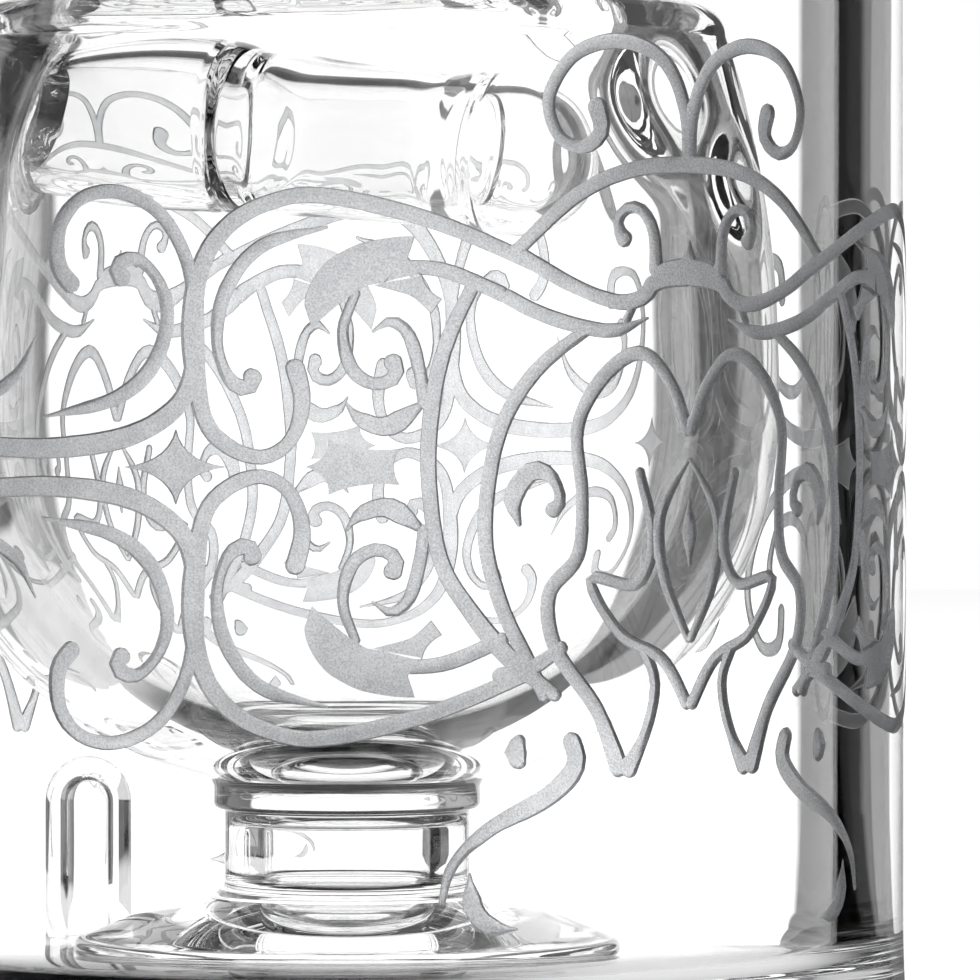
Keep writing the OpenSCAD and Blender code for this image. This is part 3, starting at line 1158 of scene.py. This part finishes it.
@dataclass(frozen=True)
class Studio:
    """Pale floor, white surround, soft top light, and a dark ring that only the glass sees."""

    ring_r: float = 0.105
    ring_h: float = 0.15
    eye_z: float = 0.025
    floor_z: float = -0.0002
    floor_r: float = 1.6
    windows: tuple[Window, ...] = (
        Window(90), Window(180, 18.0, 18.0, 24.0, level=1.0), Window(-45, 26.0, 42.0, 34.0, level=1.0),
        Window(135, 13.0, 9.0, 17.0, level=0.5))
    # painted light: round pools of light on the dark tray beside the glass, at these bearings
    light_pool_bearings: tuple[float, ...] = (135.0, 180.0, -45.0)
    light_pool_reach: float = 0.056
    light_pool_r: float = 0.044
    light_pool_level: float = 0.85
    wall_edge: Point = (0.022, 0.010)
    # the tray's painted light: half-width of its white wedge and of the glow round it, in degrees
    tray_light_wide: float = 18.9
    tray_glow: float = 38.9
    # painted light: how brightly the card over the ring glows
    lid_glow_level: float = 0.05
    lamp_size: float = 0.9
    lamp_power: float = 6.0
    lamp_z: float = 1.2

    def floor(self) -> Object:
        """Make the floor.

        Returns:
            A wide disc of matte white board.
        """
        mesh = bpy.data.meshes.new("studio_floor")
        bm = disc(self.floor_r, self.floor_z, 96)
        bm.to_mesh(mesh)
        bm.free()
        floor = make_piece("studio_floor", mesh)
        material = bpy.data.materials.new("matte_white_board")
        material.use_nodes = True
        shader = material.node_tree.nodes["Principled BSDF"]
        shader.inputs["Base Color"].default_value = linear("#F4F4F4")
        shader.inputs["Roughness"].default_value = 0.7
        mesh.materials.append(material)
        return floor

    def glow_material(self, name: str) -> tuple[Material, Node, NodeSocket]:
        """Start a material that glows, with the bearing of each point worked out.

        Args:
            name: the material's name.

        Returns:
            The material, its split coordinates, and the bearing in radians.
        """
        material, tree = empty_material(name)
        place = add_node(tree, "ShaderNodeTexCoord")
        apart = add_node(tree, "ShaderNodeSeparateXYZ", Vector=place.outputs["Object"])
        turn = add_node(tree, "ShaderNodeMath", "ARCTAN2", apart.outputs["Y"], apart.outputs["X"])
        return material, apart, turn.outputs[0]

    def aside(self, tree: NodeTree, turn: NodeSocket,
              bearing: float) -> NodeSocket:
        """Angle between a point and a bearing, the same on both sides.

        Args:
            tree: the material.
            turn: the point's bearing.
            bearing: the other bearing, in degrees.

        Returns:
            The angle, in radians.
        """
        off = add_node(tree, "ShaderNodeMath", "SUBTRACT", turn, math.radians(bearing))
        cosine = add_node(tree, "ShaderNodeMath", "COSINE", off)
        return add_node(tree, "ShaderNodeMath", "ARCCOSINE", cosine).outputs[0]

    def brightest(self, tree: NodeTree,
                  parts: Sequence[NodeSocket]) -> NodeSocket:
        """Take the brightest of several lights.

        Args:
            tree: the material.
            parts: the lights.

        Returns:
            The brightness.
        """
        light = parts[0]
        for part in parts[1:]:
            light = add_node(tree, "ShaderNodeMath", "MAXIMUM", light, part).outputs[0]
        return light

    def window_light(self, tree: NodeTree, turn: NodeSocket,
                     rise: NodeSocket, window: Window) -> NodeSocket:
        """Work out how bright one window makes each point of the ring.

        Args:
            tree: the ring's material.
            turn: the point's bearing.
            rise: the point's height angle.
            window: the window.

        Returns:
            The brightness.
        """
        squared = add_node(tree, "ShaderNodeMath", "MULTIPLY", rise, window.wide / window.tall)
        height = add_node(tree, "ShaderNodeMath", "ABSOLUTE", squared)
        away = add_node(tree, "ShaderNodeMath", "MAXIMUM", self.aside(tree, turn, window.bearing),
                        height)
        return self.fading(tree, away.outputs[0], window)

    def fading(self, tree: NodeTree, away: NodeSocket,
               window: Window) -> NodeSocket:
        """Turn an angle from the middle of a window into the window's brightness.

        Args:
            tree: the material.
            away: the angle, in radians.
            window: the window.

        Returns:
            The brightness.
        """
        share = add_node(tree, "ShaderNodeMath", "DIVIDE", away, math.pi / 2)
        ramp = add_node(tree, "ShaderNodeValToRGB", Fac=share)
        stops = ramp.color_ramp.elements
        glow = window.glow_level
        places = ((window.wide - window.soft, window.level), (window.wide + window.soft, glow),
                  (window.glow, glow * window.swell), (window.glow + window.fade, 0.0))
        while len(stops) < len(places):
            stops.new(1.0)
        for stop, (at, level) in zip(stops, places):
            stop.position = at / 90
            stop.color = (level, level, level, 1)
        return ramp.outputs["Color"]

    def glass_only(self, name: str, bm: bmesh.types.BMesh, material: Material,
                   light: NodeSocket | float) -> Object:
        """Make a glowing surface that only the glass sees.

        Args:
            name: the surface's name.
            bm: its shape, which is used up.
            material: its material, still without an output.
            light: how bright it is, as a number or a socket.

        Returns:
            The surface.
        """
        tree = material.node_tree
        glow = add_node(tree, "ShaderNodeEmission", Color=(1, 1, 1, 1), Strength=light)
        add_node(tree, "ShaderNodeOutputMaterial", Surface=glow)
        mesh = bpy.data.meshes.new(name)
        bm.to_mesh(mesh)
        bm.free()
        mesh.materials.append(material)
        screen = make_piece(name, mesh)
        screen.visible_camera = False
        screen.visible_diffuse = False
        screen.visible_shadow = False
        return screen

    def ring(self) -> Object:
        """Make the dark ring with its soft windows.

        Returns:
            The ring.
        """
        material, apart, turn = self.glow_material("black_felt_with_windows")
        tree = material.node_tree
        up = add_node(tree, "ShaderNodeMath", "SUBTRACT", apart.outputs["Z"], self.eye_z)
        rise = add_node(tree, "ShaderNodeMath", "ARCTAN2", up, self.ring_r)
        parts = [self.window_light(tree, turn, rise.outputs[0], w) for w in self.windows]
        bm = bmesh.new()
        bmesh.ops.create_cone(bm, segments=256, radius1=self.ring_r, radius2=self.ring_r,
                              depth=self.ring_h, cap_ends=False)
        bmesh.ops.translate(bm, verts=bm.verts, vec=(0, 0, self.ring_h / 2 + self.floor_z))
        return self.glass_only("dark_ring", bm, material, self.brightest(tree, parts))

    def tray(self) -> Object:
        """Make the dark disc round the glass, with painted light: white where the window would
        shine past the wall, and three round painted pools of light that the glass shows as highlights.

        Its light and dark parts meet in straight lines that run from the edges of the glass's
        wall to the edges of the window, so that the window's edges seem to reach the floor.

        Returns:
            The tray.
        """
        material, apart, _ = self.glow_material("black_tray_with_painted_light")
        tree = material.node_tree
        place = add_node(tree, "ShaderNodeTexCoord").outputs["Object"]
        side = add_node(tree, "ShaderNodeMath", "ABSOLUTE", apart.outputs["X"])
        out = add_node(tree, "ShaderNodeMath", "SUBTRACT", side, self.wall_edge[0])
        beyond = add_node(tree, "ShaderNodeMath", "MAXIMUM", out, 0.0)
        behind = add_node(tree, "ShaderNodeMath", "SUBTRACT", apart.outputs["Y"], self.wall_edge[1])
        away = add_node(tree, "ShaderNodeMath", "ARCTAN2", beyond, behind)
        # painted light: a white wedge behind the glass, where the window would light the floor
        light = self.fading(tree, away.outputs[0], Window(90, self.tray_light_wide, 90.0, self.tray_glow))
        lights = [light]
        # painted light: round pools of light on the disc, which the glass shows as highlights
        for bearing in self.light_pool_bearings:
            turned = math.radians(bearing)
            spot = (self.light_pool_reach * math.cos(turned), self.light_pool_reach * math.sin(turned), self.floor_z / 2)
            far = add_node(tree, "ShaderNodeVectorMath", "DISTANCE", place, spot)
            shine = add_node(tree, "ShaderNodeMapRange", {"interpolation_type": "SMOOTHSTEP"},
                             Value=far.outputs["Value"], From_Min=self.light_pool_r,
                             From_Max=0.75 * self.light_pool_r, To_Min=0.0, To_Max=self.light_pool_level)
            lights.append(shine.outputs[0])
        bm = disc(self.ring_r, self.floor_z / 2, 256)
        return self.glass_only("dark_tray_painted_light", bm, material, self.brightest(tree, lights))

    def lid(self) -> Object:
        """Make the card over the ring, whose faint grey is painted light: a dim glow that only the glass
        sees.

        Returns:
            The card.
        """
        material, _ = empty_material("dim_card_painted_light")
        # painted light: the card glows faintly instead of being lit
        bm = disc(self.ring_r, self.ring_h + self.floor_z, 64)
        return self.glass_only("dim_glowing_lid", bm, material, self.lid_glow_level)

    def surround(self) -> None:
        """Make the white surround and the soft top light."""
        world = bpy.data.worlds.new("white_surround")
        bpy.context.scene.world = world
        world.use_nodes = True
        world.node_tree.nodes["Background"].inputs["Color"].default_value = (1, 1, 1, 1)
        world.node_tree.nodes["Background"].inputs["Strength"].default_value = 1.0
        data = bpy.data.lights.new("top_softbox", "AREA")
        data.shape = "DISK"
        data.size = self.lamp_size
        data.energy = self.lamp_power
        lamp = bpy.data.objects.new("top_softbox", data)
        lamp.location = (0, 0, self.lamp_z)
        bpy.context.scene.collection.objects.link(lamp)

    def build(self) -> None:
        """Make the whole studio."""
        for thing in (self.floor(), self.ring(), self.tray(), self.lid()):
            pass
        self.surround()


@dataclass(frozen=True)
class CloseUpCamera:
    """A level close-up lens a third of a metre in front of the glass."""

    aside_mm: float = 6.4
    back_mm: float = 350.0
    height_mm: float = 24.64
    view_mm: float = 43.9

    def build(self) -> None:
        """Make the camera and give it to the scene."""
        data = bpy.data.cameras.new("close_up")
        data.sensor_width = 36.0
        data.lens = data.sensor_width * self.back_mm / self.view_mm
        data.clip_start = 0.01
        data.clip_end = 20.0
        camera = bpy.data.objects.new("close_up", data)
        camera.location = (self.aside_mm * MM, -self.back_mm * MM, self.height_mm * MM)
        camera.rotation_euler = (math.radians(90), 0, 0)
        bpy.context.scene.collection.objects.link(camera)
        bpy.context.scene.camera = camera


def deepen_light_paths() -> None:
    """Let light cross all the walls of nested glass, and keep whites white."""
    scene = bpy.context.scene
    scene.cycles.max_bounces = 40
    scene.cycles.transmission_bounces = 40
    scene.cycles.glossy_bounces = 16
    scene.view_settings.view_transform = "Standard"


def coat(piece: Object, finish: Material) -> None:
    """Shade a piece smooth and give the whole of it one finish.

    Args:
        piece: the piece.
        finish: its finish.
    """
    smooth(piece)
    piece.data.materials.clear()
    piece.data.materials.append(finish)


def finish_glass(piece: Object, *nodes: str) -> None:
    """Ride a glass piece on the body and let it stand for its CAD nodes.

    Args:
        piece: the finished piece.
        *nodes: the CAD nodes that it replaces.
    """
    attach(piece, BODY)
    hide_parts(*nodes)
    LOG.info("%s: %d faces", piece.name, len(piece.data.polygons))


def main() -> None:
    """Build the camera, the studio and every piece of the glass."""
    logging.basicConfig(level=logging.INFO, format="%(message)s")
    deepen_light_paths()
    CloseUpCamera().build()
    Studio().build()
    clear = ClearBorosilicate().build("clear_borosilicate")

    tube = SlopingTube()
    outer = OuterGlass()
    frost = SandblastedGlass().build("sandblasted_borosilicate")
    blank = outer.build()
    blank.data.materials.append(clear)
    outer_piece = joined_or_cut(blank, [tube.plug(), Scrollwork().cutter(frost)], "DIFFERENCE")
    smooth(outer_piece)
    true_round(outer_piece, outer.radius, outer.heel, outer.height - outer.wall / 2)
    finish_glass(outer_piece, "outer_wall", "base")

    bowl_piece = joined_or_cut(FootedBowl().build(), [tube.plug()], "DIFFERENCE")
    coat(bowl_piece, clear)
    finish_glass(bowl_piece, "inner_bowl", "bowl_collar", "stem", "foot")

    tube_piece = tube.build(outer.radius)
    coat(tube_piece, clear)
    finish_glass(tube_piece, "cross_tube", "front_tube", "tube_cap", "bowl_seal", "wall_seal")

    post_piece = BackPost().build()
    coat(post_piece, clear)
    finish_glass(post_piece, "back_post")


if __name__ == "__main__":
    main()
